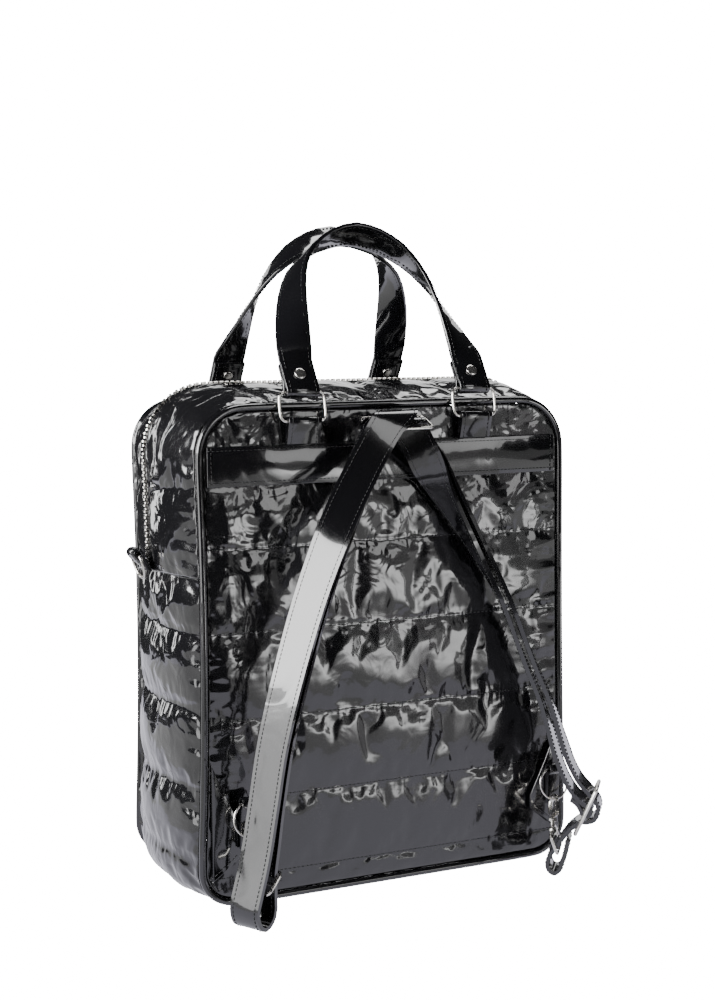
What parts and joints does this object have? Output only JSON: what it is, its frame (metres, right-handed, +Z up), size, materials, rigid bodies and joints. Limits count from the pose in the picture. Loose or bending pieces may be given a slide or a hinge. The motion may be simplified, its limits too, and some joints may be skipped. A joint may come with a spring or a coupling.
{
  "type": "quilted backpack",
  "caption": "Glossy quilted puffer backpack with a zipped top, rolled piping, upright carry handles and a convertible shoulder strap that hooks to its lower corners.",
  "frame": {"origin": "on the floor under the middle of the bag, on the flat of its base", "axes": "+X to the right as seen by someone facing the strap side, +Y towards the plain front, +Z up; the shoulder strap is on the -Y side"},
  "size_m": [0.3494, 0.2166, 0.4907],
  "materials": {
    "vinyl": "glossy padded patent vinyl",
    "trim": "glossy patent vinyl, edge stitched",
    "tape": "woven, matte",
    "metal": "polished"
  },
  "bodies": {
    "bag": {"back_band": "trim", "back_handle": "trim", "back_handle_ring_a": "metal", "back_handle_ring_b": "metal", "back_handle_tab_a": "trim", "back_handle_tab_b": "trim", "back_panel": "vinyl", "back_piping": "trim", "back_rivet_a": "metal", "back_rivet_b": "metal", "front_band": "trim", "front_handle": "trim", "front_handle_ring_a": "metal", "front_handle_ring_b": "metal", "front_handle_tab_a": "trim", "front_handle_tab_b": "trim", "front_panel": "vinyl", "front_piping": "trim", "front_rivet_a": "metal", "front_rivet_b": "metal", "front_zip_strip": "vinyl", "left_d_ring": "metal", "left_hook_body": "metal", "left_hook_eye": "metal", "left_o_ring": "metal", "left_ring_loop": "trim", "left_side_tab": "trim", "left_triangle_tab": "trim", "lower_wall": "vinyl", "rear_zip_strip": "vinyl", "right_d_ring": "metal", "right_hook_body": "metal", "right_hook_eye": "metal", "right_o_ring": "metal", "right_ring_loop": "trim", "right_side_tab": "trim", "right_triangle_tab": "trim", "shoulder_strap": "trim", "strap_ring": "metal", "strap_slider": "metal", "strap_tab": "trim", "zip_slider": "metal", "zip_tape": "tape", "zip_teeth": "metal"},
    "left_lever": {"left_hook_lever": "metal"},
    "right_lever": {"right_hook_lever": "metal"}
  },
  "joints": [
    {"name": "left_lever_hinge", "type": "hinge", "parent": "bag", "child": "left_lever", "pos_m": [-0.11541, -0.10023, 0.05378], "axis": [-0.9985, -0.0426, -0.0341], "range_deg": [0, 25], "stiffness_Nm_per_rad": 0.01, "springref_deg": -11.46},
    {"name": "right_lever_hinge", "type": "hinge", "parent": "bag", "child": "right_lever", "pos_m": [0.12727, -0.09766, 0.04644], "axis": [-0.9278, 0.2097, 0.3085], "range_deg": [0, 25], "stiffness_Nm_per_rad": 0.01, "springref_deg": -11.46}
  ]
}
